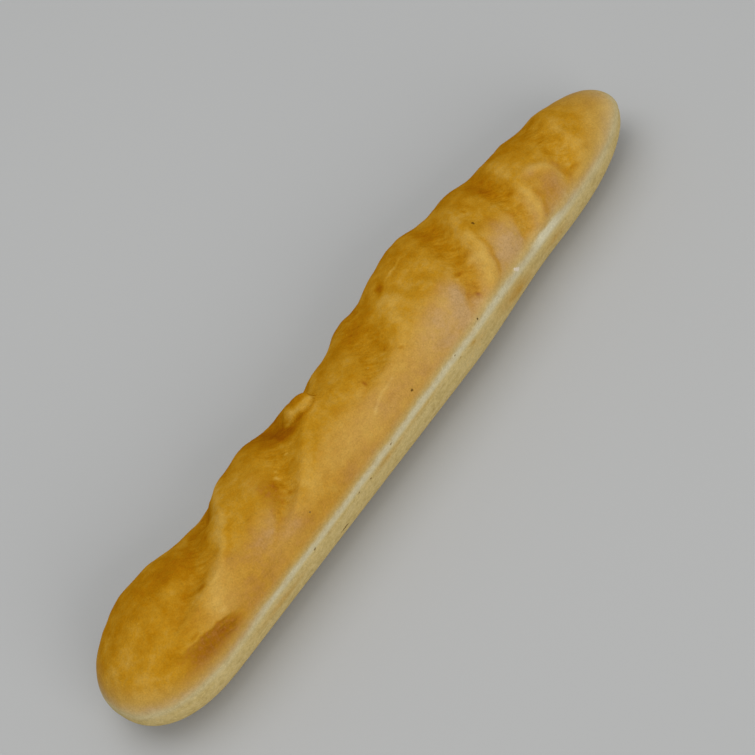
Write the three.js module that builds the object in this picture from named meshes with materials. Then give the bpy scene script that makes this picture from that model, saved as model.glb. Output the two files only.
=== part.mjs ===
// A slashed baguette, baked in a channel: one solid loaf with a browned crown and a flat resting spot.
// Millimetres. X runs along the loaf, +Y is its left side, Z is up, and it rests on Z = 0.
import * as THREE from 'three';

// Driving dimensions
const LENGTH = 440;
const WIDTH = 70;
const HEIGHT = 54;
const BELLY_HEIGHT = 28;

// The section: a round crown above the belly line, a squarer channel-baked base below it
const CROWN_ROUNDNESS = 2.1;
const BASE_ROUNDNESS = 3.2;
const FOOT_FLATTENING = 0.9;

// The ends: blunt caps, the far part of the loaf slimmer than the near part
const NEAR_CAP = 56;
const FAR_CAP = 90;
const CAP_ROUNDNESS = 2.3;
const BASE_CAP_ROUNDNESS = 3;
const TIP_DROP = 6;
const TAPER_START = 35;
const TAPER_END = 125;
const TAPER_SHARE = 0.17;

// The slashes, from the near end to the far one. Girth is counted over the crust from the top line,
// minus to the left and plus to the right. Each slash has opened between its left and right reach into
// a valley whose far side rises to a lip. The lip is given by its X at the two reaches and by how it
// curves between them, and the valley by its gap before the lip at the two reaches.
const SLASHES = [
  { left: -46, right: 16, lip: [-90, -142], curve: 0.6, gap: [20, 26], depth: 5.0, rise: 1.2 },
  { left: -46, right: 28, lip: [-2, -95], curve: 0.75, gap: [46, 11], depth: 4.5, rise: 0.6 },
  { left: -46, right: 18, lip: [41, 5], curve: 0.5, gap: [25, 22], depth: 3.5, rise: 0.7 },
  { left: -28, right: 36, lip: [97.5, 70], curve: 0.68, gap: [16, 13], depth: 4.2, rise: 2.2 },
  { left: -28, right: 35, lip: [136.3, 117], curve: 0.52, gap: [14, 11], depth: 4.0, rise: 1.8 },
  { left: -30, right: 34, lip: [182, 160], curve: 0.6, gap: [14, 13], depth: 3.0, rise: 1.0 },
];
const NEAR_WALL = 11;
const LIP_FRONT = 4.2;
const LIP_BACK = 7.5;

// How far from its reaches a slash eases to nothing, and how far past the left one its lines still run
const LEFT_EASE = [-12, 16];
const LIP_LEFT_EASE = [-2, 24];
const RIGHT_EASE = [-8, 5];
const LINE_OVERRUN = 1.4;

// Where the left shoulder swelled or sank between the slashes: centre, reach along and round, height
const SWELLS = [
  { x: -131, girth: -32, along: 18, round: 24, slant: 0, height: -5.8 },
  { x: -118.5, girth: -26, along: 5, round: 16, slant: 0, height: -3.2 },
  { x: -100, girth: -36, along: 14, round: 22, slant: 0, height: -2.5 },
  { x: -60, girth: -28, along: 10, round: 13, slant: 0, height: -4.0 },
  { x: -32, girth: -26, along: 7, round: 18, slant: 0, height: -4.2 },
  { x: -16, girth: -36, along: 20, round: 26, slant: 0, height: -6.0 },
  { x: 12, girth: -36, along: 11, round: 22, slant: 0, height: 4.0 },
  { x: 70, girth: -38, along: 26, round: 26, slant: 0, height: 8.0 },
  { x: 112, girth: -36, along: 16, round: 24, slant: 0, height: 4.8 },
];
const SWELL_EDGE = 2;

// Low folds before the last slash, which run up from the right side and bend back over to the fifth lip:
// middle of the bend, how far it bends along and round, breadth and height
const FOLDS = [
  { x: 136, girth: 25, along: 11.5, round: 16.5, breadth: 2.0, height: 1.1 },
  { x: 134, girth: 22, along: 20.5, round: 21.5, breadth: 1.8, height: 0.4 },
];
const FOLD_ROUNDNESS = 2.6;
const FOLD_START = [-4, 4];
const FOLD_FOOT = [26, 38];

// A leaf of crust that curled up at the head of the second slash: half its length and width, how its two
// ends narrow, and the shares of its length and width over which it rises, slopes and drops
const CURL = { x: -46.5, girth: -9.6, along: 11.6, round: 6.6, slant: 0.36, height: 4.9 };
const CURL_NARROWING = [2.4, 1.8];
const CURL_TIP_WIDTH = 0.2;
const CURL_RISE_ALONG = [-1, -0.2];
const CURL_DROP_ALONG = [0.7, 1];
const CURL_RISE_ACROSS = [-1.8, -0.4];
const CURL_SLOPE_ACROSS = [-0.4, 0.8];
const CURL_DROP_ACROSS = [0.85, 1];
const CURL_FRONT_SHARE = 0.5;

// A torn hollow near the near end, with a steeper edge than the swells
const SCAR = { x: -168, girth: 35.2, along: 17, round: 6.2, slant: 0.2, height: -1.2 };
const SCAR_EDGE = 4;

// Fineness of the solid: even steps to a little beyond the last slash, then equal turns round the caps
const BODY_STEPS = 77;
const BODY_END = 168;
const CAP_STEPS = 14;
const CROWN_STEPS = 40;
const BASE_STEPS = 7;
const CROWN_REACH = 58;
const GIRTH_SAMPLES = 1200;

const { smoothstep, lerp, clamp } = THREE.MathUtils;
const bell = (t) => Math.exp(-t * t);

// Point and outward direction of the middle section, by its angle from the top, plus to the right.
function sectionPoint(angle) {
  const across = -Math.sin(angle);
  const up = Math.cos(angle);
  const power = up >= 0 ? CROWN_ROUNDNESS : BASE_ROUNDNESS;
  const halfWidth = WIDTH / 2;
  const rise = up >= 0 ? HEIGHT - BELLY_HEIGHT : BELLY_HEIGHT + FOOT_FLATTENING;
  const scale = (Math.abs(across) ** power + Math.abs(up) ** power) ** (-1 / power);
  const unit = new THREE.Vector2(across * scale, up * scale);
  const out = new THREE.Vector2(
    (Math.sign(unit.x) * Math.abs(unit.x) ** (power - 1)) / halfWidth,
    (Math.sign(unit.y) * Math.abs(unit.y) ** (power - 1)) / rise,
  );
  return { point: unit.multiply(new THREE.Vector2(halfWidth, rise)), out: out.normalize() };
}

// Girth from the top line at evenly spaced angles down one side of the middle section.
function girthTable() {
  const girths = [0];
  let last = sectionPoint(0).point;
  for (let i = 1; i <= GIRTH_SAMPLES; i++) {
    const next = sectionPoint((Math.PI * i) / GIRTH_SAMPLES).point;
    girths.push(girths[i - 1] + next.distanceTo(last));
    last = next;
  }
  return girths;
}

const GIRTHS = girthTable();
const HALF_GIRTH = GIRTHS[GIRTH_SAMPLES];

function angleAtGirth(girth) {
  const wanted = Math.min(Math.abs(girth), HALF_GIRTH);
  const i = Math.max(1, GIRTHS.findIndex((g) => g >= wanted));
  const share = (wanted - GIRTHS[i - 1]) / (GIRTHS[i] - GIRTHS[i - 1]);
  return (Math.sign(girth) * Math.PI * (i - 1 + share)) / GIRTH_SAMPLES;
}

// Height that one slash adds to the crust: a valley, steep on its near wall, and the lip beyond it.
function slashRelief(slash, x, girth) {
  const share = clamp((slash.right - girth) / (slash.right - slash.left), 0, LINE_OVERRUN);
  const lipX = lerp(slash.lip[1], slash.lip[0], share ** slash.curve);
  const gap = lerp(slash.gap[1], slash.gap[0], share);
  const pastValley = x - lipX + gap;
  const valley = pastValley < 0 ? bell(pastValley / NEAR_WALL) : 1 - smoothstep(pastValley, 0, gap);
  const lip = bell((x - lipX) / (x < lipX ? LIP_FRONT : LIP_BACK));
  const ease = (from, [start, end]) => smoothstep(girth, from + start, from + end);
  const opened = ease(slash.left, LEFT_EASE);
  const lipped = ease(slash.left, LIP_LEFT_EASE);
  return (slash.rise * lip * lipped - slash.depth * valley * opened) * (1 - ease(slash.right, RIGHT_EASE));
}

// Girth of a place from the middle line of a spot, which may slant round the loaf.
const aside = (spot, x, girth) => girth - spot.girth - spot.slant * (x - spot.x);

// Height that a rounded spot adds, falling off over its reaches, the steeper the higher the edge.
function spotRelief(spot, x, girth, edge) {
  const along = Math.abs((x - spot.x) / spot.along) ** edge;
  const round = Math.abs(aside(spot, x, girth) / spot.round) ** edge;
  return spot.height * Math.exp(-along - round);
}

// Height that a fold adds: a bell across a line, straight below the middle and bent round above it.
function foldRelief(fold, x, girth) {
  const bend = Math.max(fold.girth - girth, 0) / fold.round;
  const reach = Math.abs(x - fold.x) / fold.along;
  const away = (reach ** FOLD_ROUNDNESS + bend ** FOLD_ROUNDNESS) ** (1 / FOLD_ROUNDNESS) - 1;
  const kept = smoothstep(x - fold.x, ...FOLD_START) * (1 - smoothstep(girth, ...FOLD_FOOT));
  return fold.height * kept * bell((away * fold.along) / fold.breadth);
}

// Height that the leaf adds: it rises from the left, slopes to its front edge and drops there.
function curlRelief(x, girth) {
  const along = (x - CURL.x) / CURL.along;
  const narrowing = Math.abs(along) ** CURL_NARROWING[along < 0 ? 0 : 1];
  const across = aside(CURL, x, girth) / (CURL.round * clamp(1 - narrowing, CURL_TIP_WIDTH, 1));
  const length = smoothstep(along, ...CURL_RISE_ALONG) * (1 - smoothstep(along, ...CURL_DROP_ALONG));
  const width = smoothstep(across, ...CURL_RISE_ACROSS) * (1 - smoothstep(across, ...CURL_DROP_ACROSS));
  const slope = lerp(1, CURL_FRONT_SHARE, smoothstep(across, ...CURL_SLOPE_ACROSS));
  return CURL.height * length * width * slope;
}

// Height that the slashes, swells, folds, leaf and scar add to the smooth crust at a place on it.
function relief(x, girth) {
  let height = curlRelief(x, girth) + spotRelief(SCAR, x, girth, SCAR_EDGE);
  for (const slash of SLASHES) height += slashRelief(slash, x, girth);
  for (const swell of SWELLS) height += spotRelief(swell, x, girth, SWELL_EDGE);
  for (const fold of FOLDS) height += foldRelief(fold, x, girth);
  return height;
}

// Point of the crust at X and girth: the section, drawn in at the caps and the slim end, plus relief.
function crustPoint(x, girth) {
  const { point, out } = sectionPoint(angleAtGirth(girth));
  const cap = x < 0 ? NEAR_CAP : FAR_CAP;
  const into = clamp(1 - (LENGTH / 2 - Math.abs(x)) / cap, 0, 1);
  const drawnIn = Math.max(0, 1 - into ** CAP_ROUNDNESS) ** (1 / CAP_ROUNDNESS);
  const baseDrawnIn = Math.sqrt(Math.max(0, 1 - into ** BASE_CAP_ROUNDNESS));
  const slim = 1 - TAPER_SHARE * smoothstep(x, TAPER_START, TAPER_END);
  const middle = BELLY_HEIGHT - TIP_DROP * into ** 2;
  const height = relief(x, girth * slim) * drawnIn;
  const lift = point.y > 0 ? point.y * drawnIn * slim : (point.y * baseDrawnIn * middle) / BELLY_HEIGHT;
  const y = point.x * drawnIn * slim + out.x * height;
  return new THREE.Vector3(x, y, Math.max(0, middle + lift + out.y * height));
}

// X of the rings: even along the body, by equal turns round each cap, without the two tips.
function ringStations() {
  const turns = Array.from({ length: CAP_STEPS - 1 }, (_, i) => ((i + 1) / CAP_STEPS) * (Math.PI / 2));
  const capReach = turns.map((turn) => Math.sin(turn) ** (2 / CAP_ROUNDNESS));
  const nearStart = -LENGTH / 2 + NEAR_CAP;
  const farStart = LENGTH / 2 - FAR_CAP;
  const near = capReach.map((reach) => nearStart - NEAR_CAP * reach).reverse();
  const body = Array.from({ length: BODY_STEPS + 1 }, (_, i) => lerp(nearStart, BODY_END, i / BODY_STEPS));
  const far = capReach.map((reach) => farStart + FAR_CAP * reach).filter((x) => x > BODY_END);
  return [...near, ...body, ...far];
}

// Girths round a ring: close together over the crown, wider apart under the loaf.
function ringGirths() {
  const crown = Array.from({ length: CROWN_STEPS + 1 }, (_, i) => CROWN_REACH * ((2 * i) / CROWN_STEPS - 1));
  const under = (i) => lerp(CROWN_REACH, HALF_GIRTH, i / BASE_STEPS);
  const right = Array.from({ length: BASE_STEPS }, (_, i) => under(i + 1));
  const left = Array.from({ length: BASE_STEPS - 1 }, (_, i) => -under(BASE_STEPS - 1 - i));
  return [...left, ...crown, ...right];
}

// The closed crust: rings of points joined by triangles, with one point at each tip.
function loafGeometry() {
  const stations = ringStations();
  const girths = ringGirths();
  const count = girths.length;
  const points = stations.flatMap((x) => girths.map((girth) => crustPoint(x, girth)));
  const nearTip = points.push(crustPoint(-LENGTH / 2, 0)) - 1;
  const farTip = points.push(crustPoint(LENGTH / 2, 0)) - 1;
  const triangles = [];
  for (let j = 0; j < count; j++) {
    const k = (j + 1) % count;
    for (let i = 0; i < stations.length - 1; i++) {
      const here = i * count;
      const beyond = here + count;
      triangles.push(here + j, here + k, beyond + k, here + j, beyond + k, beyond + j);
    }
    const lastRing = (stations.length - 1) * count;
    triangles.push(nearTip, k, j, farTip, lastRing + j, lastRing + k);
  }
  const geometry = new THREE.BufferGeometry().setFromPoints(points);
  geometry.setIndex(triangles);
  return geometry;
}

// Sets a geometry down with its box centred over the origin and its lowest point on Z = 0.
function setDown(geometry) {
  geometry.computeBoundingBox();
  const { min, max } = geometry.boundingBox;
  geometry.translate(-(min.x + max.x) / 2, -(min.y + max.y) / 2, -min.z);
  geometry.computeVertexNormals();
  return geometry;
}

const crust = new THREE.MeshStandardMaterial({ color: 0xb58b3a, roughness: 0.55, metalness: 0 });
const loaf = new THREE.Mesh(setDown(loafGeometry()), crust);
loaf.name = 'loaf';

const baguette = new THREE.Group();
baguette.add(loaf);

export default baguette;
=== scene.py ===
import math

import bpy
import numpy as np
from mathutils import Matrix, Vector


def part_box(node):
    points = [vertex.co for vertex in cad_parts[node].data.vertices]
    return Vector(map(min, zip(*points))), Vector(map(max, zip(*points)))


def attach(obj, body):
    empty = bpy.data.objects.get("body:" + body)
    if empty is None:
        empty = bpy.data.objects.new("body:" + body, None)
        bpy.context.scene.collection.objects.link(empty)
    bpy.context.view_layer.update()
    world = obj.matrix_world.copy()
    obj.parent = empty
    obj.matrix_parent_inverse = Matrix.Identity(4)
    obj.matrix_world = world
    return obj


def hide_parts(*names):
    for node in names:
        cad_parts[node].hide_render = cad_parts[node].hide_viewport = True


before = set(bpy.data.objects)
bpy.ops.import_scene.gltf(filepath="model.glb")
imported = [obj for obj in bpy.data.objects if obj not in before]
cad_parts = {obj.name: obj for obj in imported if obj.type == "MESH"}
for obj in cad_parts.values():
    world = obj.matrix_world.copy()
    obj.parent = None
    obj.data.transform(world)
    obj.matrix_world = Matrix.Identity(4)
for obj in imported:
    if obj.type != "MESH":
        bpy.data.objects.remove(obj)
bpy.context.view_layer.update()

# The loaf: one baguette of wheat dough, proved and baked in a channel tray. The crown was slashed and tore
# open along the slashes, the side walls kept the shape of the channel, and a pale line runs where they meet.
low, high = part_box("loaf")
LENGTH = high[0] - low[0]
WIDTH = 0.070
HEIGHT = 0.054
BELLY_HEIGHT = 0.028
SIDE_SHIFT = low[1] + WIDTH / 2
CROWN_ROUNDNESS = 2.1
BASE_ROUNDNESS = 3.2
FOOT_FLATTENING = 0.0009


def smooth(start, end, value):
    """Eased step: 0 before start, 1 after end, with a cubic rise between them."""
    share = np.clip((value - start) / (end - start), 0, 1)
    return share * share * (3 - 2 * share)


def plateau(rise, drop, value):
    """Eased plateau: 0, an eased step up over the range rise to 1, and one down over the range drop to 0."""
    return smooth(*rise, value) * (1 - smooth(*drop, value))


def bell(t):
    """Bell curve, the exponential of minus t squared."""
    return np.exp(-t * t)


def section(angle):
    """Middle section of the loaf by the angle from its top, plus to the right: a superellipse, rounder above
    the belly line and squarer below it. Gives across, up, and the outward direction across and up."""
    across, up = -np.sin(angle), np.cos(angle)
    power = np.where(up >= 0, CROWN_ROUNDNESS, BASE_ROUNDNESS)
    half = WIDTH / 2
    rise = np.where(up >= 0, HEIGHT - BELLY_HEIGHT, BELLY_HEIGHT + FOOT_FLATTENING)
    scale = (np.abs(across) ** power + np.abs(up) ** power) ** (-1 / power)
    across, up = across * scale, up * scale
    out_across = np.sign(across) * np.abs(across) ** (power - 1) / half
    out_up = np.sign(up) * np.abs(up) ** (power - 1) / rise
    size = np.hypot(out_across, out_up)
    return across * half, up * rise, out_across / size, out_up / size


def girth_scale(samples=2000):
    """Angles down one side of the middle section, and the girth from the top line and the height at each."""
    angles = np.linspace(0, np.pi, samples)
    across, up, _, _ = section(angles)
    steps = np.hypot(np.diff(across), np.diff(up))
    return angles, np.concatenate(([0], np.cumsum(steps))), BELLY_HEIGHT + up


SIDE_ANGLES, SIDE_GIRTHS, SIDE_HEIGHTS = girth_scale()
HALF_GIRTH = SIDE_GIRTHS[-1]

# Slashes: left and right reach round the crown, X of the lip at each reach and how it curves between them,
# gap back to the valley at each reach, depth of the valley and height of the lip
SLASHES = (
    (-0.046, 0.016, (-0.090, -0.142), 0.60, (0.020, 0.026), 0.0050, 0.0012),
    (-0.046, 0.028, (-0.002, -0.095), 0.75, (0.046, 0.011), 0.0045, 0.0006),
    (-0.046, 0.018, (0.041, 0.005), 0.50, (0.025, 0.022), 0.0035, 0.0007),
    (-0.028, 0.036, (0.0975, 0.070), 0.68, (0.016, 0.013), 0.0042, 0.0022),
    (-0.028, 0.035, (0.1363, 0.117), 0.52, (0.014, 0.011), 0.0040, 0.0018),
    (-0.030, 0.034, (0.182, 0.160), 0.60, (0.014, 0.013), 0.0030, 0.0010),
)
# Reach of a valley's near wall and of a lip in front and behind, how valley and lip ease out at the left and
# right reaches, and how far the line of the lip runs on past the left one
NEAR_WALL = 0.011
LIP_FRONT = 0.0042
LIP_BACK = 0.0075
LEFT_EASE = (-0.012, 0.016)
LIP_LEFT_EASE = (-0.002, 0.024)
RIGHT_EASE = (-0.008, 0.005)
LINE_OVERRUN = 1.4


def slash_lines(slash, x, girth):
    """Where a place lies by one slash: how far past its lip along X, the gap from valley to lip there, and
    the shares to which valley and lip are open. The lip runs from the right reach to the left one by a power
    of the share of the way, and valley and lip ease to nothing past the reaches."""
    left, right, lip_ends, curve, gaps, _, _ = slash
    share = np.clip((right - girth) / (right - left), 0, LINE_OVERRUN)
    past_lip = x - lip_ends[1] - (lip_ends[0] - lip_ends[1]) * share**curve
    gap = gaps[1] + (gaps[0] - gaps[1]) * share
    right_end = 1 - smooth(*RIGHT_EASE, girth - right)
    opened = right_end * smooth(*LEFT_EASE, girth - left)
    lipped = right_end * smooth(*LIP_LEFT_EASE, girth - left)
    return past_lip, gap, opened, lipped


def slash_height(slash, x, girth):
    """Height that a slash adds: less its depth in the valley, which has a bell-shaped near wall and an eased
    floor up to the lip, and more by its rise on the lip, a bell steeper in front than behind."""
    *_, depth, rise = slash
    past_lip, gap, opened, lipped = slash_lines(slash, x, girth)
    past_valley = past_lip + gap
    valley = np.where(past_valley < 0, bell(past_valley / NEAR_WALL), 1 - smooth(0, gap, past_valley))
    lip = bell(past_lip / np.where(past_lip < 0, LIP_FRONT, LIP_BACK))
    return rise * lip * lipped - depth * valley * opened


# Edges of a spot: the power by which it falls off
SOFT_EDGE = 2
SHARP_EDGE = 4


def patch(x, girth, spot, edge=SOFT_EDGE):
    """Share of a spot at a place: 1 at its centre, falling off over its reach along and round the loaf. A
    spot with a slant keeps to a line that moves round the loaf by that much for each step along it."""
    spot_x, spot_girth, along, around, slant = spot
    line = spot_girth + slant * (x - spot_x)
    return np.exp(-np.abs((x - spot_x) / along) ** edge - np.abs((girth - line) / around) ** edge)


# Swellings and sinkings of the left shoulder: X, girth, reach along and round, slant and height
SWELLS = (
    (-0.131, -0.032, 0.018, 0.024, 0.0, -0.0058),
    (-0.1185, -0.026, 0.005, 0.016, 0.0, -0.0032),
    (-0.100, -0.036, 0.014, 0.022, 0.0, -0.0025),
    (-0.060, -0.028, 0.010, 0.013, 0.0, -0.0040),
    (-0.032, -0.026, 0.007, 0.018, 0.0, -0.0042),
    (-0.016, -0.036, 0.020, 0.026, 0.0, -0.0060),
    (0.012, -0.036, 0.011, 0.022, 0.0, 0.0040),
    (0.070, -0.038, 0.026, 0.026, 0.0, 0.0080),
    (0.112, -0.036, 0.016, 0.024, 0.0, 0.0048),
)

# Two low folds before the last slash, which run up from the right side and bend back over to the fifth lip:
# X and girth of the middle of the bend, how far it bends along and round, and breadth
FOLDS = (
    (0.136, 0.025, 0.0115, 0.0165, 0.0020),
    (0.134, 0.022, 0.0205, 0.0215, 0.0018),
)
FOLD_HEIGHTS = (0.0011, 0.0004)
FOLD_PALING = (0.15, 0.10)
FOLD_ROUNDNESS = 2.6
FOLD_START = (-0.004, 0.004)
FOLD_FOOT = (0.026, 0.038)


def fold_shares(x, girth):
    """Share of each fold: a bell across a line, straight below its middle and a rounded bend above it."""
    shares = []
    for middle_x, middle_girth, along, around, breadth in FOLDS:
        bend = np.maximum(middle_girth - girth, 0) / around
        past = np.abs((x - middle_x) / along)
        away = (past**FOLD_ROUNDNESS + bend**FOLD_ROUNDNESS) ** (1 / FOLD_ROUNDNESS) - 1
        kept = smooth(*FOLD_START, x - middle_x) * (1 - smooth(*FOLD_FOOT, girth))
        shares.append(kept * bell(away * along / breadth))
    return shares


# A leaf of crust that curled up at the head of the second slash: its middle, half its length and width,
# slant, height, and how far its front edge hangs over
CURL_X = -0.0465
CURL_GIRTH = -0.0096
CURL_HALF_LENGTH = 0.0116
CURL_HALF_WIDTH = 0.0066
CURL_SLANT = 0.36
CURL_HEIGHT = 0.0049
CURL_OVERHANG = 0.0014
# Its shape in shares of its half length and half width: how it narrows to each end, where it rises and drops
# along and across, its slope down to the front edge, its toasted top, its front rim and the line of painted
# shadow under it
CURL_NARROWING = (2.4, 1.8)
CURL_TIP_WIDTH = 0.2
CURL_ALONG = ((-1.0, -0.2), (0.70, 1.0))
CURL_ACROSS = ((-1.8, -0.40), (0.85, 1.0))
CURL_SLOPE = (-0.40, 0.80)
CURL_FRONT_SHARE = 0.5
CURL_TOP_ALONG = ((-0.40, -0.05), (0.95, 1.10))
CURL_TOP_ACROSS = ((-1.8, -0.4), (0.10, 0.40))
CURL_RIM_ALONG = ((-0.5, -0.1), (0.75, 0.95))
CURL_RIM_ACROSS = ((0.15, 0.40), (0.88, 1.0))
CURL_SHADE_ENDS = (0.85, 1.0)
CURL_SHADE_ACROSS = 1.20
CURL_SHADE_BREADTH = 0.25


def curl_shares(x, girth):
    """Shares of the leaf's height, of its toasted top, of the front rim that hangs over and of the painted
    shadow line under it. The leaf is pointed at both ends, rises from the left, slopes down to its front
    edge and drops there."""
    along = (x - CURL_X) / CURL_HALF_LENGTH
    narrowing = np.abs(along) ** np.where(along < 0, *CURL_NARROWING)
    half_width = CURL_HALF_WIDTH * np.clip(1 - narrowing, CURL_TIP_WIDTH, 1)
    across = (girth - CURL_GIRTH - CURL_SLANT * (x - CURL_X)) / half_width
    body = plateau(*CURL_ALONG, along) * plateau(*CURL_ACROSS, across)
    body = body * (1 - CURL_FRONT_SHARE * smooth(*CURL_SLOPE, across))
    top = plateau(*CURL_TOP_ALONG, along) * plateau(*CURL_TOP_ACROSS, across)
    rim = plateau(*CURL_RIM_ALONG, along) * plateau(*CURL_RIM_ACROSS, across)
    shaded = bell((across - CURL_SHADE_ACROSS) / CURL_SHADE_BREADTH)
    return body, top, rim, shaded * (1 - smooth(*CURL_SHADE_ENDS, np.abs(along)))


# A place near the near end where the crust tore off, with its sharpest edge towards the crown: X, girth,
# reach along and round, and slant
SCAR = (-0.168, 0.0352, 0.0170, 0.0062, 0.20)
SCAR_DEPTH = 0.0012
SCAR_EDGE = (-0.0060, -0.0046)


def scar_share(x, girth):
    """Share of the torn place, and how far to the right of its middle line a place lies."""
    scar_x, scar_girth, _, _, slant = SCAR
    side = girth - scar_girth - slant * (x - scar_x)
    return patch(x, girth, SCAR, SHARP_EDGE) * smooth(*SCAR_EDGE, side), side


# Waves: how many are summed, and their range of lengths as shares of the wanted one
WAVE_COUNT = 36
WAVE_RANGE = (0.7, 1.4)


def waves(places, spread, wavelength, seed):
    """Smooth random field about 0, with about this spread: a sum of plane waves of near this wavelength, in
    directions and phases drawn from the seed."""
    draw = np.random.default_rng(seed)
    towards = draw.normal(size=(WAVE_COUNT, places.shape[-1]))
    towards /= np.linalg.norm(towards, axis=1, keepdims=True)
    turns = 2 * np.pi / (wavelength * draw.uniform(*WAVE_RANGE, size=(WAVE_COUNT, 1)))
    phases = draw.uniform(0, 2 * np.pi, WAVE_COUNT)
    total = np.zeros(places.shape[:-1])
    for wave, phase in zip(towards * turns, phases):
        total += np.cos(places @ wave + phase)
    return spread * math.sqrt(2 / WAVE_COUNT) * total


# Fine relief: spread, wavelength and seed of the soft dents of the crown, of smaller ones, of the scar's
# floor and of the torn streaks, which are stretched the way they run, with the edge of the crown, and where
# a slash's opened floor rises and drops in shares of the gap before its lip
DENTS = (0.00028, 0.030, 1)
SMALL_DENTS = (0.00012, 0.011, 2)
CROWN_EDGE = (0.036, 0.043)
SCAR_FLOOR = (0.00040, 0.0034, 4)
STREAKS = (1.0, 0.0042, 3)
STREAK_STRETCH = 0.16
STREAK_HEIGHT = 0.00007
OPENED_FLOOR = ((-1.7, -1.0), (-0.6, 0.0))

# Small pits of burst bubbles in the opened slashes, drawn at random: X, girth, reach along and round, slant
PIT_COUNT = 260
PIT_ALONG = (-0.19, 0.18)
PIT_ROUND = (-0.03, 0.035)
PIT_REACH = (0.0008, 0.0017)
PIT_DEPTH = 0.00035
pit_draw = np.random.default_rng(8)
PITS = []
for _ in range(PIT_COUNT):
    pit_place = (pit_draw.uniform(*PIT_ALONG), pit_draw.uniform(*PIT_ROUND))
    PITS.append((*pit_place, *pit_draw.uniform(*PIT_REACH, 2), 0.0))

# The pale line along each side: its girth at the middle of the loaf, how it moves along the loaf, and the
# shallow groove in which it lies
STRIPE_GIRTH = 0.045
STRIPE_SLANT = -0.028
GROOVE_BREADTH = 0.0034
GROOVE_DEPTH = 0.00045


def torn_streaks(x, girth):
    """Random streaks, with a spread of about 1, that run aslant over the crown, as the dough tore open."""
    return waves(np.stack((STREAK_STRETCH * (x + girth), x - girth), axis=-1), *STREAKS)


def fine_relief(x, girth, places):
    """Height of the small unevenness: soft dents on the crown, torn streaks and pits in the opened slashes,
    the rough floor of the scar and a shallow groove at the pale line. Gives the share of pits too."""
    opened, pits = np.zeros(x.shape), np.zeros(x.shape)
    for slash in SLASHES:
        past_lip, gap, share, _ = slash_lines(slash, x, girth)
        opened = np.maximum(opened, share * plateau(*OPENED_FLOOR, past_lip / gap))
    for pit in PITS:
        pits = np.maximum(pits, patch(x, girth, pit))
    scar, _ = scar_share(x, girth)
    crown = 1 - smooth(*CROWN_EDGE, np.abs(girth))
    height = crown * (waves(places, *DENTS) + waves(places, *SMALL_DENTS))
    height += opened * (STREAK_HEIGHT * torn_streaks(x, girth) - PIT_DEPTH * pits)
    height += scar * (waves(places, *SCAR_FLOOR) - SCAR_DEPTH)
    groove = bell((np.abs(girth) - STRIPE_GIRTH - STRIPE_SLANT * x) / GROOVE_BREADTH)
    return height - GROOVE_DEPTH * groove, pits * opened


# The ends: blunt caps, with the far part of the loaf slimmer than the near part, and how far into a cap the
# pale line goes over from keeping to the girth to keeping to the height
NEAR_CAP = 0.056
FAR_CAP = 0.090
CAP_ROUNDNESS = 2.3
BASE_CAP_ROUNDNESS = 3
TIP_DROP = 0.006
TAPER_START = 0.035
TAPER_END = 0.125
TAPER_SHARE = 0.17
LEVEL_EASE = (0.15, 0.75)


def crust(x, girth):
    """Crust at X and girth: the section drawn in at the caps and the slim end, moved out by the slashes,
    swells, folds, leaf and fine relief. Gives the points, the true girth, the girth of the middle section at
    the same height, which the pale line follows round the caps, and the share of pits."""
    x, girth = np.broadcast_arrays(x, girth)
    angle = np.sign(girth) * np.interp(np.abs(girth), SIDE_GIRTHS, SIDE_ANGLES)
    across, up, out_across, out_up = section(angle)
    into = np.clip(1 - (LENGTH / 2 - np.abs(x)) / np.where(x < 0, NEAR_CAP, FAR_CAP), 0, 1)
    drawn_in = np.clip(1 - into**CAP_ROUNDNESS, 0, 1) ** (1 / CAP_ROUNDNESS)
    base_drawn_in = np.sqrt(np.clip(1 - into**BASE_CAP_ROUNDNESS, 0, 1))
    slim = 1 - TAPER_SHARE * smooth(TAPER_START, TAPER_END, x)
    girth = girth * slim
    middle = BELLY_HEIGHT - TIP_DROP * into**2
    lift = np.where(up > 0, up * drawn_in * slim, up * base_drawn_in * middle / BELLY_HEIGHT)
    points = np.stack((x, across * drawn_in * slim, middle + lift), axis=-1)
    level = slim * np.interp(-points[..., 2], -SIDE_HEIGHTS, SIDE_GIRTHS)
    level = np.abs(girth) + (level - np.abs(girth)) * smooth(*LEVEL_EASE, into)

    height, pits = fine_relief(x, girth, points)
    for slash in SLASHES:
        height += slash_height(slash, x, girth)
    for *spot, swelling in SWELLS:
        height += swelling * patch(x, girth, spot)
    for fold_height, share in zip(FOLD_HEIGHTS, fold_shares(x, girth)):
        height += fold_height * share
    leaf, _, rim, _ = curl_shares(x, girth)
    height += CURL_HEIGHT * leaf
    height *= drawn_in
    slide = CURL_OVERHANG * leaf * rim
    points[..., 1] += out_across * height - out_up * slide + SIDE_SHIFT
    points[..., 2] = np.maximum(points[..., 2] + out_up * height + out_across * slide, 0)
    return points, girth, level, pits
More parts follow.
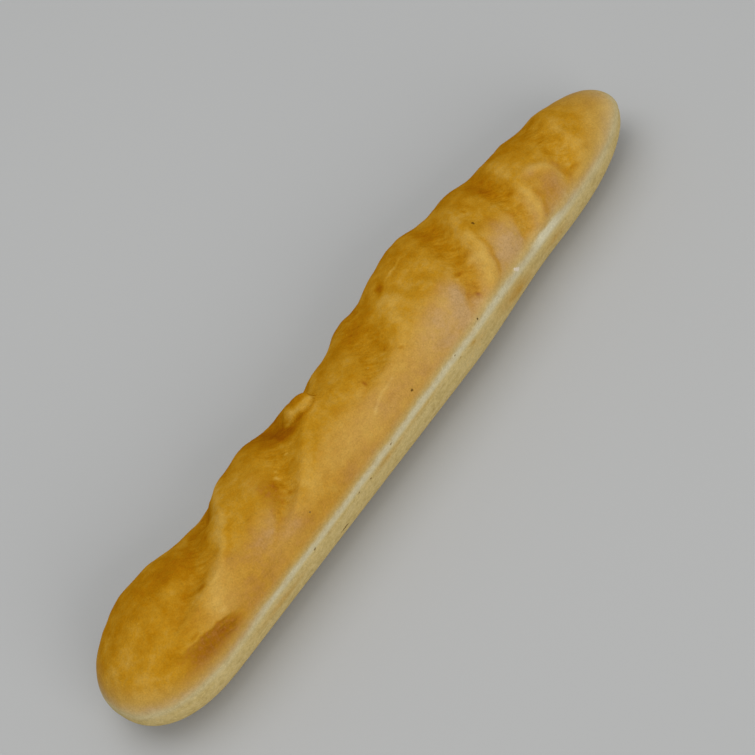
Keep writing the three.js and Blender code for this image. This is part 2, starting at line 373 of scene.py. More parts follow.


# How each slash is toasted, with painted highlight on its lip: where its floor starts before the valley, how
# it fades towards the lip by shares of the gap, browning of the floor and of the lip, where the lip's paler
# band, partly painted highlight on its crest, starts and ends, browning of the line behind the band, and how
# softly the band starts and ends
SLASH_TONES = (
    ((-0.0105, -0.0050), (-0.90, -0.05), 0.11, -0.16, (-0.0062, 0.0026), 0.0, 0.0038),
    ((-0.0120, -0.0040), (-1.00, 0.20), 0.08, -0.03, (-0.0010, 0.0070), 0.0, 0.0020),
    ((-0.0105, -0.0050), (-0.90, 0.10), 0.09, -0.07, (-0.0020, 0.0060), 0.0, 0.0020),
    ((-0.0105, -0.0050), (-0.85, -0.25), 0.11, -0.11, (-0.0048, 0.0030), 0.11, 0.0015),
    ((-0.0075, -0.0030), (-0.80, -0.20), 0.11, -0.11, (-0.0030, 0.0016), 0.08, 0.0015),
    ((-0.0060, -0.0020), (-0.80, -0.10), 0.07, -0.05, (-0.0030, 0.0030), 0.05, 0.0015),
)
# Browning of torn streaks, and gap, breadth and start round the loaf of the line behind a band
STREAK_TONE = 0.012
BEHIND_GAP = 0.0028
BEHIND_BREADTH = 0.0022
BEHIND_START = (0.000, 0.015)


def slash_browning_and_highlights(x, girth, streaks):
    """Browning that the slashes add, with painted highlight on the lips, and the shares of their floors and
    lips. A floor is toasted between its start and its fade, with streaks in it. A lip has a paler band,
    partly paler crust and partly painted highlight on its crest, and a browner line, a bell, behind it."""
    browning_and_highlights, floors, lips = np.zeros(x.shape), np.zeros(x.shape), np.zeros(x.shape)
    for slash, tones in zip(SLASHES, SLASH_TONES):
        start, fade, floor_tone, lip_tone, band, line_tone, soft = tones
        past_lip, gap, opened, lipped = slash_lines(slash, x, girth)
        floor = opened * smooth(*start, past_lip + gap) * (1 - smooth(*fade, past_lip / gap))
        lip = smooth(-soft, soft, past_lip - band[0]) * (1 - smooth(-soft, soft, past_lip - band[1]))
        line = bell((past_lip - band[1] - BEHIND_GAP) / BEHIND_BREADTH) * smooth(*BEHIND_START, girth)
        browning_and_highlights += floor * (floor_tone + STREAK_TONE * streaks)
        # The lip's paler band: partly paler crust and partly painted highlight on its crest
        browning_and_highlights += lipped * (lip_tone * lip + line_tone * line)
        floors = np.maximum(floors, floor)
        lips = np.maximum(lips, lipped * (lip + line))
    return browning_and_highlights, floors, lips


# Toasted places and paler ones, and a painted shadow under the leaf's front edge: X, girth, reach along and
# round, slant, and how much darker or paler
TOASTED_AND_SHADED = (
    # Painted shadow under the front edge of the leaf
    (-0.0520, -0.0025, 0.0065, 0.0030, 0.2, 0.20),
    (-0.0552, -0.0105, 0.0018, 0.0022, 0.0, -0.20),
    (-0.0600, -0.0260, 0.0058, 0.0130, 1.2, 0.22),
    (-0.1592, 0.0318, 0.0034, 0.0010, 0.25, 0.32),
    (-0.1650, 0.0338, 0.0022, 0.0010, 0.10, 0.22),
    (-0.1620, 0.0360, 0.0026, 0.0010, 0.20, 0.24),
    (-0.1735, 0.0268, 0.0024, 0.0010, 0.30, 0.20),
    (-0.1690, 0.0300, 0.0014, 0.0010, 0.30, 0.20),
    (-0.1570, 0.0350, 0.0014, 0.0009, 0.30, -0.20),
    (-0.150, -0.007, 0.0140, 0.0080, 0.0, 0.18),
    (-0.151, 0.0125, 0.0030, 0.0016, 0.1, 0.34),
    (-0.120, 0.024, 0.0160, 0.0100, 0.0, 0.18),
    (-0.187, 0.0265, 0.0110, 0.0060, 0.25, 0.16),
    (-0.174, 0.0385, 0.0150, 0.0050, 0.0, 0.25),
    (-0.170, 0.021, 0.0110, 0.0070, 0.15, 0.15),
    (-0.093, 0.008, 0.0050, 0.0100, 0.0, 0.12),
    (-0.0880, 0.0100, 0.0016, 0.0022, 0.0, 0.16),
    (-0.0860, 0.0185, 0.0018, 0.0014, 0.0, 0.22),
    (-0.0850, 0.0125, 0.0014, 0.0020, 0.0, 0.18),
    (-0.091, 0.036, 0.0060, 0.0025, 0.0, 0.08),
    (-0.0170, 0.0140, 0.0010, 0.0014, -1.4, 0.40),
    (-0.0240, 0.0274, 0.0022, 0.0008, -0.25, -0.28),
    (-0.0160, 0.0254, 0.0090, 0.0008, -0.20, -0.16),
    (-0.0061, 0.0241, 0.0008, 0.0008, 0.0, -0.22),
    (-0.015, 0.029, 0.0040, 0.0015, 0.0, 0.10),
    (0.006, -0.014, 0.0130, 0.0080, 0.0, 0.10),
    (0.0105, 0.0178, 0.0012, 0.0012, 0.0, 0.24),
    (0.0356, -0.0160, 0.0042, 0.0028, -0.85, 0.42),
    (0.078, -0.014, 0.0070, 0.0080, 0.0, 0.03),
    (0.0985, -0.0055, 0.0014, 0.0014, 0.0, 0.20),
    (0.0655, 0.0165, 0.0030, 0.0012, 0.3, 0.24),
    (0.0765, 0.0160, 0.0030, 0.0040, 0.0, -0.10),
    (-0.0780, 0.0060, 0.0060, 0.0060, 0.0, 0.07),
    (-0.1000, 0.0300, 0.0120, 0.0060, 0.0, 0.06),
    (-0.1340, 0.0320, 0.0100, 0.0090, 0.0, 0.12),
    (-0.1520, 0.0370, 0.0060, 0.0040, 0.0, 0.12),
    (-0.0495, -0.0080, 0.0045, 0.0035, 0.36, -0.22),
    (0.0500, -0.0170, 0.0100, 0.0008, 0.06, -0.20),
    (0.0625, 0.0320, 0.0011, 0.0020, 0.0, 0.42),
    (0.1185, -0.007, 0.0050, 0.0080, 0.0, 0.18),
    (0.138, 0.026, 0.0080, 0.0080, 0.0, 0.32),
    (0.101, 0.020, 0.0050, 0.0070, 0.0, 0.10),
    (0.000, 0.026, 0.0120, 0.0080, 0.0, 0.06),
    (0.153, 0.021, 0.0016, 0.0085, 0.0, 0.26),
    (0.157, 0.0285, 0.0045, 0.0022, 0.0, 0.25),
    (0.098, -0.003, 0.0060, 0.0100, 0.0, -0.09),
    (-0.147, 0.0195, 0.0130, 0.0045, -0.67, -0.12),
    (-0.0812, 0.0040, 0.0014, 0.0012, 0.0, -0.24),
    (-0.0840, 0.0070, 0.0010, 0.0018, 0.5, -0.22),
    (-0.0698, 0.0012, 0.0014, 0.0012, 0.0, -0.16),
    (0.0615, 0.0170, 0.0012, 0.0012, 0.0, -0.20),
    (0.1550, 0.0245, 0.0016, 0.0014, 0.0, -0.16),
    (-0.1538, 0.0290, 0.0024, 0.0012, 0.2, -0.16),
    (0.030, -0.004, 0.0120, 0.0100, 0.0, -0.06),
)
# The darkest places, beside the leaf, in the same way but with sharper edges, and how far they hide a floor
DARKEST = (
    (-0.0685, -0.0240, 0.0085, 0.0160, 0.0, 0.12),
    (-0.0598, -0.0095, 0.0040, 0.0095, 0.0, 0.26),
)
DARKEST_COVER = 0.8
# Rosy places of the right shoulder, in the same way: partly a greyish bloom of the crust and partly painted
# sheen
ROSY_SHEEN = (
    (0.038, 0.027, 0.0180, 0.0130, 0.0, 0.22),
    (0.054, 0.025, 0.0080, 0.0120, 0.0, 0.20),
    (0.093, 0.027, 0.0080, 0.0110, 0.0, 0.35),
    (0.101, 0.023, 0.0060, 0.0100, 0.0, 0.30),
    (0.138, 0.026, 0.0080, 0.0070, 0.0, -0.15),
    (0.138, 0.010, 0.0060, 0.0030, 0.0, 0.30),
    (0.153, 0.022, 0.0020, 0.0060, 0.0, 0.50),
    (-0.120, 0.022, 0.0120, 0.0080, 0.0, 0.15),
    (-0.137, 0.013, 0.0070, 0.0070, 0.0, 0.20),
    (-0.104, 0.026, 0.0120, 0.0110, 0.0, 0.25),
    (-0.075, 0.031, 0.0250, 0.0100, 0.0, -0.12),
    (0.072, 0.028, 0.0080, 0.0080, 0.0, -0.20),
)
# Scorched places of the side wall and lines of painted shadow just under the pale line, in the same way
SCORCHED_AND_SHADED = (
    (-0.130, 0.0560, 0.0180, 0.0024, 0.0, 0.70),
    (-0.085, 0.0520, 0.0060, 0.0014, 0.0, 0.30),
    # Painted shadow in a thin line just under the pale line
    (-0.035, 0.0520, 0.0160, 0.0018, -0.06, 0.50),
    # Painted shadow in a thin line just under the pale line
    (-0.038, 0.0505, 0.0080, 0.0010, 0.0, 0.60),
    (-0.004, 0.0495, 0.0120, 0.0018, 0.0, 0.50),
    # Painted shadow in a thin line just under the pale line
    (0.0410, 0.0490, 0.0030, 0.0012, 0.0, 0.90),
    (0.045, 0.0520, 0.0100, 0.0035, 0.0, 0.30),
    (0.082, 0.0515, 0.0160, 0.0050, 0.0, 1.0),
    (0.124, 0.0495, 0.0110, 0.0030, 0.0, 0.65),
)
# The greyish, pitted side of the second slash: X, girth, reach along and round, and slant
PITTED = (-0.092, 0.008, 0.0050, 0.0110, 0.0)
PITTED_SHARE = 0.60

# How the edges of the marks wander along and round the loaf: spread, wavelength and seed of their waves
WANDER_ALONG = ((0.0004, 0.013, 6), (0.0003, 0.0052, 7))
WANDER_ROUND = ((0.0004, 0.012, 9), (0.0003, 0.0050, 10))

# Browning of the crown, with painted shade and highlight: its even tone, more to the left, less on the
# right shoulder and more again at the brim above the pale line, where it lessens along the loaf, then in the
# pits, on the leaf with painted shadow under its front edge, and in the scar
EVEN_TONE = 0.55
LEFT_TONE = 0.10
LEFT_EDGE = (0.000, -0.020)
SHOULDER_PALING = 0.10
SHOULDER_EDGE = (0.006, 0.024)
BRIM_TONE = 0.10
BRIM_EDGE = (0.028, 0.038)
BRIM_PALING = 0.04
BRIM_CHANGE = (-0.060, -0.020)
PIT_TONE = 0.10
CURL_TOP_TONE = 0.32
CURL_SHADE_TONE = 0.14
CURL_PALING = 0.17
SCAR_TONE = 0.17
SCAR_PALING = 0.13
SCAR_CHANGE = (-0.003, 0.006)

# Rosiness of the right shoulder, partly a greyish bloom of the crust and partly painted sheen: in the near
# part, how much more in the middle and the far part, where it starts and ends along the loaf and starts
# round it, and how far floors and lips of slashes lack it
ROSINESS = 0.30
MIDDLE_ROSIER = 0.10
MIDDLE_START = (-0.080, -0.030)
FAR_ROSIER = 0.20
FAR_START = (0.010, 0.035)
ROSY_ALONG = ((-0.185, -0.150), (0.142, 0.158))
ROSY_SIDE = (0.004, 0.030)
FLOOR_LACK = 0.75
LIP_LACK = 0.6


def crust_marks(x, girth, level, places, pits):
    """Marks of the crust at a place: its level, browning with painted shade and highlight, rosiness that is
    partly painted sheen, and the shares of opened floor, of torn crust and of scorched wall with painted
    shadow under the pale line. They are sums of eased steps and spots, whose places are shifted by random
    waves, so that their edges wander."""
    shifted = x + sum(waves(places, *wave) for wave in WANDER_ALONG)
    around = girth + sum(waves(places, *wave) for wave in WANDER_ROUND)
    browning_and_highlights, floors, lips = slash_browning_and_highlights(shifted, around, torn_streaks(x, girth))
    scar, scar_side = scar_share(shifted, around)
    leaf, leaf_top, _, shaded = curl_shares(x, girth)

    # Browning of the crust, with painted shadow under the leaf and painted highlight on the lips
    baked = EVEN_TONE + LEFT_TONE * smooth(*LEFT_EDGE, around) + PIT_TONE * pits + browning_and_highlights
    baked -= SHOULDER_PALING * smooth(*SHOULDER_EDGE, around)
    baked += (BRIM_TONE - BRIM_PALING * smooth(*BRIM_CHANGE, x)) * smooth(*BRIM_EDGE, around)
    # The leaf's shaded line is painted shadow under its front edge
    baked += CURL_TOP_TONE * leaf_top + CURL_SHADE_TONE * shaded - CURL_PALING * leaf
    baked += scar * (SCAR_TONE - SCAR_PALING * smooth(*SCAR_CHANGE, scar_side))
    for *spot, tone in TOASTED_AND_SHADED:
        baked += tone * patch(shifted, around, spot)
    for *spot, tone in DARKEST:
        dark = patch(shifted, around, spot, SHARP_EDGE)
        baked += tone * dark
        floors *= 1 - DARKEST_COVER * dark
    for paling, share in zip(FOLD_PALING, fold_shares(shifted, around)):
        baked -= paling * share

    # Rosiness of the right shoulder: partly a greyish bloom of the crust and partly painted sheen
    rosy = ROSINESS + MIDDLE_ROSIER * smooth(*MIDDLE_START, x) + FAR_ROSIER * smooth(*FAR_START, x)
    rosy *= plateau(*ROSY_ALONG, x) * smooth(*ROSY_SIDE, around)
    for *spot, tone in ROSY_SHEEN:
        rosy += tone * patch(shifted, around, spot)
    rosy *= (1 - FLOOR_LACK * floors) * (1 - scar) * (1 - LIP_LACK * np.clip(lips, 0, 1))

    torn = np.maximum(scar, PITTED_SHARE * patch(shifted, around, PITTED))
    # Scorched places of the wall, and painted shadow just under the pale line
    scorched = np.zeros(x.shape)
    for *spot, tone in SCORCHED_AND_SHADED:
        scorched += tone * patch(shifted, level, spot)
    return {
        "level": level,
        "baked": baked,
        "rosy": rosy,
        "opened": floors,
        "torn": torn,
        "scorched": scorched,
    }


# Rings of points: close on the crown and round the caps, wider apart under the loaf
RINGS_BODY = 385
RINGS_CAP = 48
GIRTHS_CROWN = 140
GIRTHS_BASE = 32
CROWN_REACH = 0.046


def ring_stations():
    """X of the rings: even along the body, and by equal turns round each blunt cap, without the tips."""
    turns = np.arange(1, RINGS_CAP) / RINGS_CAP * np.pi / 2
    reach = np.sin(turns) ** (2 / CAP_ROUNDNESS)
    near_start, far_start = NEAR_CAP - LENGTH / 2, LENGTH / 2 - FAR_CAP
    body = np.linspace(near_start, far_start, RINGS_BODY + 1)
    return np.concatenate(((near_start - NEAR_CAP * reach)[::-1], body, far_start + FAR_CAP * reach))


def ring_girths():
    """Girths round a ring, from under the left side over the crown to the foot: close on the crown."""
    crown = np.linspace(-CROWN_REACH, CROWN_REACH, GIRTHS_CROWN + 1)
    under = np.linspace(CROWN_REACH, HALF_GIRTH, GIRTHS_BASE + 1)[1:]
    return np.concatenate((-under[-2::-1], crown, under))


def ring_faces(rings, count):
    """Faces of rings of points: quads between neighbours, closed round, and a fan to a point at each tip."""
    ring = np.arange(rings - 1)[:, None] * count
    each = np.arange(count)
    after = (each + 1) % count
    quads = np.stack((ring + each, ring + after, ring + count + after, ring + count + each), axis=-1)
    last = (rings - 1) * count
    near_tip = np.full(count, rings * count)
    far_tip = near_tip + 1
    near_fan = np.stack((near_tip, after, each), axis=-1)
    far_fan = np.stack((far_tip, last + each, last + after), axis=-1)
    return quads.reshape(-1, 4).tolist() + near_fan.tolist() + far_fan.tolist()


stations, girths = ring_stations(), ring_girths()
grid_x, grid_girth = np.meshgrid(stations, girths, indexing="ij")
loaf_x = np.append(grid_x, (-LENGTH / 2, LENGTH / 2))
loaf_points, loaf_girth, loaf_level, loaf_pits = crust(loaf_x, np.append(grid_girth, (0, 0)))
loaf_marks = crust_marks(loaf_x, loaf_girth, loaf_level, loaf_points, loaf_pits)

loaf_mesh = bpy.data.meshes.new("baked_loaf")
loaf_mesh.from_pydata(loaf_points.tolist(), [], ring_faces(len(stations), len(girths)))
loaf_mesh.shade_smooth()
for name, values in loaf_marks.items():
    attribute = loaf_mesh.attributes.new(name, "FLOAT", "POINT")
    attribute.data.foreach_set("value", values)
loaf_mesh.update()
loaf = bpy.data.objects.new("baked_loaf", loaf_mesh)
bpy.context.collection.objects.link(loaf)


class Paint:
    """A socket of a material's nodes, used as a value: arithmetic on it adds Math nodes to the same tree."""

    def __init__(self, tree, socket=None):
        self.tree = tree
        self.socket = socket

    def node(self, kind, settings=None, sockets=None, output=0):
        """Adds a node of this kind: its settings and colour stops first, then values or links of sockets."""
        made = self.tree.nodes.new(kind)
        for name, value in (settings or {}).items():
            if name == "stops":
                elements = made.color_ramp.elements
                elements[0].position, elements[0].color = value[0]
                elements[1].position, elements[1].color = value[-1]
                for at, colour in value[1:-1]:
                    elements.new(at).color = colour
            else:
                setattr(made, name, value)
        for name, value in (sockets or {}).items():
            if isinstance(value, Paint):
                self.tree.links.new(value.socket, made.inputs[name])
            else:
                made.inputs[name].default_value = value
        return Paint(self.tree, made.outputs[output] if made.outputs else None)

    def math(self, operation, first, second=0.0):
        """A Math node on two values."""
        return self.node("ShaderNodeMath", {"operation": operation}, {0: first, 1: second})

    def __add__(self, other):
        return self.math("ADD", self, other)

    __radd__ = __add__

    def __mul__(self, other):
        return self.math("MULTIPLY", self, other)

    __rmul__ = __mul__

    def __sub__(self, other):
        return self.math("SUBTRACT", self, other)

    def __rsub__(self, other):
        return self.math("SUBTRACT", other, self)

    def __truediv__(self, other):
        return self.math("DIVIDE", self, other)

    def __abs__(self):
        return self.math("ABSOLUTE", self)

    def step(self, start, end):
        """Eased step of this value: 0 at start and before it, 1 at end and beyond."""
        settings = {"interpolation_type": "SMOOTHSTEP"}
        return self.node("ShaderNodeMapRange", settings, {"Value": self, "From Min": start, "From Max": end})

    def band(self, rise, drop):
        """Eased plateau of this value: up over the range rise and down over the range drop."""
        return self.step(*rise) * (1 - self.step(*drop))

    def mix(self, under, over):
        """Colour over laid on colour under by this share."""
        settings = {"data_type": "RGBA"}
        return self.node("ShaderNodeMix", settings, {0: self, 6: under, 7: over}, output=2)

    def ramp(self, stops):
        """Colour of this value between the stops, each a value and its colour."""
        return self.node("ShaderNodeValToRGB", {"stops": stops}, {"Fac": self})

    def vector(self, operation, other, output=0):
        """A Vector Math node on this vector or colour and another."""
        return self.node("ShaderNodeVectorMath", {"operation": operation}, {0: self, 1: other}, output)

    def noise(self, scale, detail, roughness):
        """Noise at this place, about 0, with scale bumps to the metre."""
        sockets = {"Vector": self, "Scale": scale, "Detail": detail, "Roughness": roughness}
        return self.node("ShaderNodeTexNoise", None, sockets) - 0.5


def shade(red, green, blue):
    """Linear colour of a display colour from 0 to 255."""
    parts = [value / 255 for value in (red, green, blue)]
    linear = [part / 12.92 if part <= 0.04045 else ((part + 0.055) / 1.055) ** 2.4 for part in parts]
    return (*linear, 1.0)


# Noises of the crust: bumps to the metre, detail and roughness, and how fibres and wall lines are stretched
NOISES = {
    "broad": (32, 2.0, 0.5),
    "blotch": (110, 5.0, 0.6),
    "mottle": (420, 4.0, 0.65),
    "grain": (1200, 1.0, 0.5),
}
FIBRES = (600, 3.0, 0.6)
FIBRE_STRETCH = (0.3, 1, 1)
FIBRE_TURN = math.pi / 4
FIBRE_EDGES = (-0.18, 0.20)
WALL_LINES = (420, 3.0, 0.6)
WALL_LINE_STRETCH = (0.10, 1, 1)
# Small dots in the crust, so many cells to the metre: their edges, and which cells are blisters or pores
DOT_CELLS = 170
DOT_EDGE = (0.05, 0.16)
BLISTER_CELLS = (0.55, 0.75)
PORE_CELLS = (0.10, 0.25)


def crust_noise(place):
    """Noises that break up the crust, about 0: broad, blotch, mottle and grain from coarse to fine, fibres
    aslant over the crown and lines along the wall. Blisters and pores are shares of dots in chosen cells."""
    noise = {name: place.noise(*settings) for name, settings in NOISES.items()}
    slanting = {"Vector": place, "Angle": FIBRE_TURN}
    turned = place.node("ShaderNodeVectorRotate", {"rotation_type": "Z_AXIS"}, slanting)
    noise["fibre"] = turned.vector("MULTIPLY", FIBRE_STRETCH).noise(*FIBRES).step(*FIBRE_EDGES) - 0.5
    noise["wall_lines"] = place.vector("MULTIPLY", WALL_LINE_STRETCH).noise(*WALL_LINES)
    cells = {"Vector": place, "Scale": DOT_CELLS}
    cell_tint = place.node("ShaderNodeTexVoronoi", None, cells, "Color")
    chosen = place.node("ShaderNodeSeparateXYZ", None, {"Vector": cell_tint})
    dots = 1 - place.node("ShaderNodeTexVoronoi", None, cells, "Distance").step(*DOT_EDGE)
    noise["blister"] = dots * chosen.step(*BLISTER_CELLS)
    noise["pore"] = dots * (1 - chosen.step(*PORE_CELLS))
    return noise


# Colours of the crown by its browning, then of its rosy shoulder, partly painted sheen, and of torn crust
# and the pebbles in it
CROWN_TONES = (
    (0.20, shade(198, 158, 74)),
    (0.33, shade(188, 143, 53)),
    (0.44, shade(178, 128, 27)),
    (0.56, shade(165, 111, 8)),
    (0.68, shade(155, 97, 4)),
    (0.80, shade(141, 80, 3)),
    (1.00, shade(112, 58, 6)),
)
BROWNING_SCALE = 0.8
ROSY_SHEEN_TONE = shade(182, 146, 96)
ROSY_RANGE = (-0.05, 1.05)
TORN_TONE = shade(146, 93, 30)
TORN_STRENGTH = 0.55
PEBBLE_TONE = shade(172, 116, 50)
PEBBLE_STRENGTH = 0.5
PEBBLE_EDGE = (0.02, 0.16)


def crown_colour(mark, noise):
    """Colour of the crown: straw to dark toast by its browning, with painted shade and highlight in it, then
    rosy, partly painted sheen, and torn by those marks, each broken up by a weighted sum of noises. Opened
    floors show fibres, blisters are paler and pores darker."""
    # Browning, with painted shadow under the leaf and painted highlight on the lips, broken up by noise
    baked = mark["baked"] + 0.24 * noise["broad"] + 0.60 * noise["blotch"] + 0.22 * noise["mottle"]
    baked = baked + 0.10 * mark["opened"] * noise["fibre"] + 0.08 * noise["pore"]
    baked = baked - noise["blister"] * (0.06 + 0.12 * mark["opened"])
    colour = (BROWNING_SCALE * baked).ramp(CROWN_TONES)
    # A rosy grey over the right shoulder, partly bloom of the crust and partly painted sheen
    rosy = mark["rosy"] * (1 + 1.2 * noise["broad"] + 1.4 * noise["blotch"] + 0.8 * noise["mottle"])
    colour = rosy.step(*ROSY_RANGE).mix(colour, ROSY_SHEEN_TONE)
    torn = mark["torn"] * (TORN_STRENGTH + 3.0 * noise["mottle"] + 0.8 * noise["grain"])
    colour = torn.mix(colour, TORN_TONE)
    pebbles = PEBBLE_STRENGTH * mark["torn"] * noise["mottle"].step(*PEBBLE_EDGE)
    return pebbles.mix(colour, PEBBLE_TONE)


# Course of the pale line: how far blotches and mottles shift it, how far it rises on the slim part, the near
# part and the near tip, and how much wider it is towards both ends and on the slim part
LINE_BLOTCHES = 0.0020
LINE_MOTTLES = 0.0014
SLIM_PART = (0.045, 0.080)
SLIM_RISE = 0.0015
NEAR_PART = (-0.150, -0.090)
NEAR_RISE = 0.0012
NEAR_TIP = (-0.188, -0.163)
TIP_RISE = 0.0026
END_PARTS = (0.125, 0.185)
END_WIDENING = 0.8
SLIM_WIDENING = 0.3


def below_line(mark, noise, along):
    """How far round the loaf a place lies below the pale line: its level less the girth of the slanting
    line, which noises shift, over how many times wider the line is there."""
    below = mark["level"] - STRIPE_SLANT * along - STRIPE_GIRTH
    below = below + LINE_BLOTCHES * noise["blotch"] + LINE_MOTTLES * noise["mottle"]
    slim = along.step(*SLIM_PART)
    below = below + SLIM_RISE * slim + NEAR_RISE * (1 - along.step(*NEAR_PART))
    below = below + TIP_RISE * (1 - along.step(*NEAR_TIP))
    return below / (1 + END_WIDENING * abs(along).step(*END_PARTS) + SLIM_WIDENING * slim)


# Colours of the wall below the line: sand, its pores and scorched places, with painted shadow under the
# line, and the browner underside
WALL_EDGE = (-0.0010, 0.0020)
SAND_TONES = (
    (0.34, shade(178, 155, 98)),
    (0.46, shade(186, 164, 106)),
    (0.58, shade(191, 170, 116)),
    (0.70, shade(190, 162, 98)),
)
PORE_TONE = shade(152, 120, 64)
PORE_STRENGTH = 0.6
SCORCH_AND_SHADE_TONE = shade(176, 138, 66)
SCORCH_AND_SHADE_STRENGTH = 0.9
UNDERSIDE_TONE = shade(186, 142, 76)
UNDERSIDE_STRENGTH = 0.6
UNDERSIDE_EDGE = (0.024, 0.052)


def wall_colour(mark, noise, below):
    """Colour of the wall and the underside: blotched sand with lines along it, darker in pores, in scorched
    places and in painted shadow just under the pale line, and browner under the loaf, each broken up by a
    weighted sum of noises."""
    sand = 0.5 + 0.4 * noise["blotch"] + 0.6 * noise["wall_lines"] + 0.5 * noise["mottle"]
    colour = (PORE_STRENGTH * noise["pore"]).mix(sand.ramp(SAND_TONES), PORE_TONE)
    # Scorched places, and painted shadow just under the pale line
    scorched = mark["scorched"] * (SCORCH_AND_SHADE_STRENGTH + 2.0 * noise["blotch"])
    colour = scorched.mix(colour, SCORCH_AND_SHADE_TONE)
    browner = UNDERSIDE_STRENGTH + 1.2 * noise["broad"] + 1.6 * noise["blotch"]
    return (below.step(*UNDERSIDE_EDGE) * browner).mix(colour, UNDERSIDE_TONE)


# The pale line's colours, by distance below it, how it fades towards both ends, and a floury smear on it
LINE_BAND = ((-0.0075, 0.0000), (0.0015, 0.0045))
LINE_CORE = (-0.0034, 0.0004)
LINE_EDGE_TONE = shade(187, 165, 104)
LINE_TONE = shade(194, 183, 147)
LINE_STRENGTH = 0.88
LINE_FADE = (0.128, 0.160)
LINE_LOSS = 0.55
FLOUR_BAND = ((-0.0036, -0.0010), (0.0012, 0.0032))
FLOUR_ALONG = ((0.103, 0.116), (0.124, 0.136))
FLOUR_TONE = shade(212, 203, 170)
FLOUR_STRENGTH = 0.8


def line_over(colour, noise, below, along):
    """A colour with the pale line laid over it, paler in its lower part, uneven by noises and weaker towards
    both ends, and with a floury smear over a stretch of the line."""
    pale = below.band(*LINE_BAND) * (LINE_STRENGTH + 0.3 * noise["mottle"] + 0.6 * noise["blotch"])
    pale = pale * (1 - LINE_LOSS * abs(along).step(*LINE_FADE))
    line = below.step(*LINE_CORE).mix(LINE_EDGE_TONE, LINE_TONE)
    colour = pale.mix(colour, line)
    floury = FLOUR_STRENGTH * below.band(*FLOUR_BAND) * along.band(*FLOUR_ALONG)
    return floury.mix(colour, FLOUR_TONE)


# Specks, a slit at the foot of the wall and a floury dab: X, girth, half size, how many times as long as
# wide, and colour
BURNT = shade(74, 46, 10)
BROWN = shade(116, 90, 48)
WHITISH = shade(218, 204, 182)
SPECKS = (
    (0.0942, 0.0046, 0.0009, 1.0, BURNT),
    (-0.0040, 0.0360, 0.0009, 1.0, BURNT),
    (-0.0780, 0.0615, 0.0006, 5.0, BURNT),
    (0.0510, 0.0412, 0.0005, 1.2, BURNT),
    (-0.0885, 0.0330, 0.0005, 1.0, BROWN),
    (0.0275, 0.0441, 0.0006, 1.0, BROWN),
    (-0.0316, 0.0470, 0.0006, 1.2, BROWN),
    (-0.0516, 0.0513, 0.0006, 1.2, BROWN),
    (-0.0616, 0.0510, 0.0006, 1.3, BROWN),
    (-0.0990, 0.0507, 0.0006, 1.3, BROWN),
    (0.0882, 0.0434, 0.0010, 1.0, WHITISH),
    (0.0893, 0.0449, 0.0012, 1.0, WHITISH),
    (0.0904, 0.0464, 0.0013, 1.0, WHITISH),
)
SPECK_STRENGTH = 0.85
SPECK_INNER = 0.6
SPECK_OUTER = 1.2
SPECK_WANDER = 0.0012


def specks_over(colour, place, grain):
    """A colour with the specks laid over it: each covers what lies nearer to its place on the crust than its
    half size, with an eased edge that the grain makes uneven."""
    for x, girth, size, length, speck_tone in SPECKS:
        spot = crust(np.array(x), np.array(girth))[0]
        away = place.vector("SUBTRACT", tuple(spot)).vector("MULTIPLY", (1 / length, 1, 1))
        gap = away.vector("LENGTH", (0, 0, 0), "Value") + SPECK_WANDER * grain
        covered = SPECK_STRENGTH * (1 - gap.step(SPECK_INNER * size, SPECK_OUTER * size))
        colour = covered.mix(colour, speck_tone)
    return colour


# Heights of the crust's finest bumps, roughness of the satin crown, how much more the dull wall has, and
# where the one turns to the other
MOTTLE_HEIGHT = 0.00030
GRAIN_HEIGHT = 0.00014
FIBRE_HEIGHT = 0.00010
BLISTER_HEIGHT = 0.00015
SATIN = 0.56
DULLER = 0.2
DULL_EDGE = (-0.005, 0.003)


def baked_crust():
    """Crust paint by the place on the loaf: the crown's colour and the wall's below it, with the pale line
    and the specks over them, all broken up by noise, and with fine bumps and a satin finish."""
    material = bpy.data.materials.new("baked_crust")
    material.use_nodes = True
    material.node_tree.nodes.clear()
    paint = Paint(material.node_tree)
    place = paint.node("ShaderNodeTexCoord", output="Object")
    along = paint.node("ShaderNodeSeparateXYZ", None, {"Vector": place}, output="X")
    mark = {}
    for name in loaf_marks:
        mark[name] = paint.node("ShaderNodeAttribute", {"attribute_name": name}, output="Fac")
    noise = crust_noise(place)
    below = below_line(mark, noise, along)

    colour = below.step(*WALL_EDGE).mix(crown_colour(mark, noise), wall_colour(mark, noise, below))
    colour = line_over(colour, noise, below, along)
    colour = colour.vector("MULTIPLY", 1 + 0.40 * noise["mottle"] + 0.40 * noise["grain"])
    colour = specks_over(colour, place, noise["grain"])
    roughness = SATIN + DULLER * below.step(*DULL_EDGE) + 0.3 * noise["blotch"]

    relief = MOTTLE_HEIGHT * noise["mottle"] + GRAIN_HEIGHT * noise["grain"]
    relief = relief + FIBRE_HEIGHT * mark["opened"] * noise["fibre"]
    relief = relief + BLISTER_HEIGHT * (noise["blister"] - noise["pore"])
    bump = paint.node("ShaderNodeBump", None, {"Strength": 1.0, "Distance": 1.0, "Height": relief})
    surface = {"Base Color": colour, "Roughness": roughness, "Normal": bump, "Specular IOR Level": 0.0}
    shader = paint.node("ShaderNodeBsdfPrincipled", None, surface)
    paint.node("ShaderNodeOutputMaterial", None, {"Surface": shader})
    return material


loaf_mesh.materials.append(baked_crust())
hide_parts("loaf")
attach(loaf, "root")

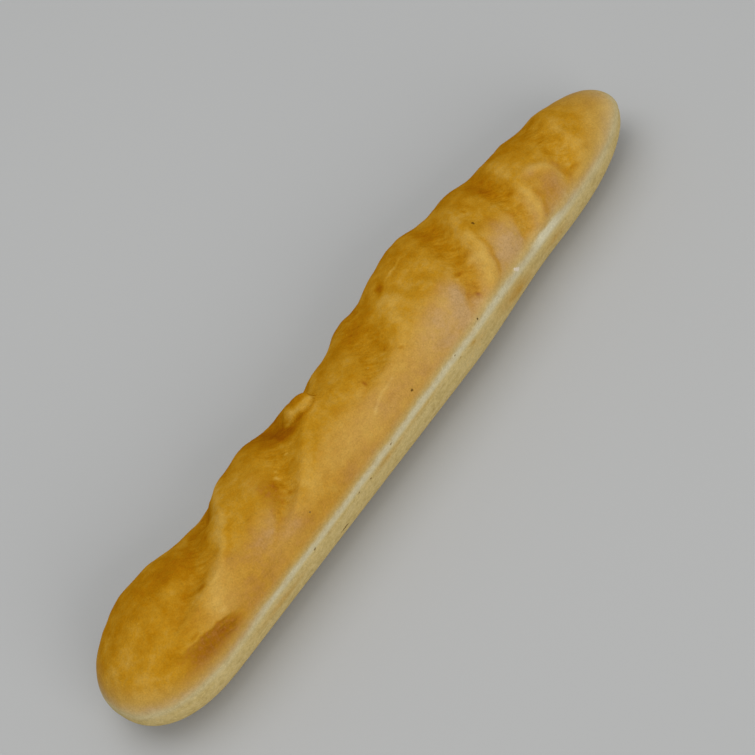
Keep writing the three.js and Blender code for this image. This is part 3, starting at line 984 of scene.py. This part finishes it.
# The floor: a wide plain sheet in a pale matt grey, which the loaf lies on. It is flat, at the height of the
# loaf's base, and belongs to the picture only.
FLOOR_HALF = 4.0
FLOOR_COLOUR = (0.46, 0.46, 0.4508, 1)
FLOOR_ROUGHNESS = 0.8
FLOOR_GLOSS = 0.1
floor_corners = [(-FLOOR_HALF, -FLOOR_HALF, 0), (FLOOR_HALF, -FLOOR_HALF, 0)]
floor_corners += [(FLOOR_HALF, FLOOR_HALF, 0), (-FLOOR_HALF, FLOOR_HALF, 0)]
floor_mesh = bpy.data.meshes.new("floor")
floor_mesh.from_pydata(floor_corners, [], [(0, 1, 2, 3)])
floor = bpy.data.objects.new("floor", floor_mesh)
bpy.context.collection.objects.link(floor)
floor_paint = bpy.data.materials.new("floor_grey")
floor_paint.use_nodes = True
floor_shader = floor_paint.node_tree.nodes["Principled BSDF"]
floor_shader.inputs["Base Color"].default_value = FLOOR_COLOUR
floor_shader.inputs["Roughness"].default_value = FLOOR_ROUGHNESS
floor_shader.inputs["Specular IOR Level"].default_value = FLOOR_GLOSS
floor_mesh.materials.append(floor_paint)

# The light: an even, faintly blue sky, a wide soft panel overhead and a wider one further off at the right.
# The panels are square lamps, each turned to face the loaf.
SKY_COLOUR = (0.95, 0.97, 1.0, 1)
SKY_STRENGTH = 0.55
sky = bpy.data.worlds.new("sky")
sky.use_nodes = True
sky.node_tree.nodes["Background"].inputs["Color"].default_value = SKY_COLOUR
sky.node_tree.nodes["Background"].inputs["Strength"].default_value = SKY_STRENGTH
bpy.context.scene.world = sky


def soft_panel(name, place, size, power):
    """A square panel of light at a place, facing the loaf, with its side in metres and power in watts."""
    lamp = bpy.data.lights.new(name, "AREA")
    lamp.size = size
    lamp.energy = power
    panel = bpy.data.objects.new(name, lamp)
    panel.location = place
    panel.rotation_euler = (Vector((0, 0, 0)) - Vector(place)).to_track_quat("-Z", "Y").to_euler()
    bpy.context.collection.objects.link(panel)


soft_panel("overhead_panel", (-0.05, 0.35, 1.3), 1.2, 7)
soft_panel("right_panel", (-0.50, -2.50, 1.10), 1.8, 36)

# The camera: a metre off, above the right side and the near end, with a long lens. It is rolled so that the
# loaf runs up to the right across the picture, in the direction that LOAF_RUNS gives to the right and down.
CAMERA_FROM = Vector((-0.33, -0.555, 0.764)).normalized()
CAMERA_DISTANCE = 1.0
LOAF_MIDDLE = Vector((0, SIDE_SHIFT, HEIGHT / 2))
LOAF_RUNS = (0.6203, -0.7839)
IMAGE_SIDE = 755
FOCAL_PIXELS = 1890
SENSOR = 36.0

ahead = -CAMERA_FROM
right = ahead.cross(Vector((0, 0, 1))).normalized()
up = right.cross(ahead)
drawn = math.atan2(up.x, right.x)
wanted = math.atan2(-LOAF_RUNS[1], LOAF_RUNS[0])
turn = drawn - wanted
camera_right = right * math.cos(turn) + up * math.sin(turn)
camera_up = up * math.cos(turn) - right * math.sin(turn)
camera_data = bpy.data.cameras.new("camera")
camera_data.sensor_width = SENSOR
camera_data.lens = SENSOR * FOCAL_PIXELS / IMAGE_SIDE
camera = bpy.data.objects.new("camera", camera_data)
camera.matrix_world = Matrix.Translation(LOAF_MIDDLE + CAMERA_FROM * CAMERA_DISTANCE) @ Matrix(
    (
        (camera_right.x, camera_up.x, CAMERA_FROM.x, 0),
        (camera_right.y, camera_up.y, CAMERA_FROM.y, 0),
        (camera_right.z, camera_up.z, CAMERA_FROM.z, 0),
        (0, 0, 0, 1),
    )
)
bpy.context.collection.objects.link(camera)
bpy.context.scene.camera = camera
bpy.context.scene.view_settings.view_transform = "Standard"
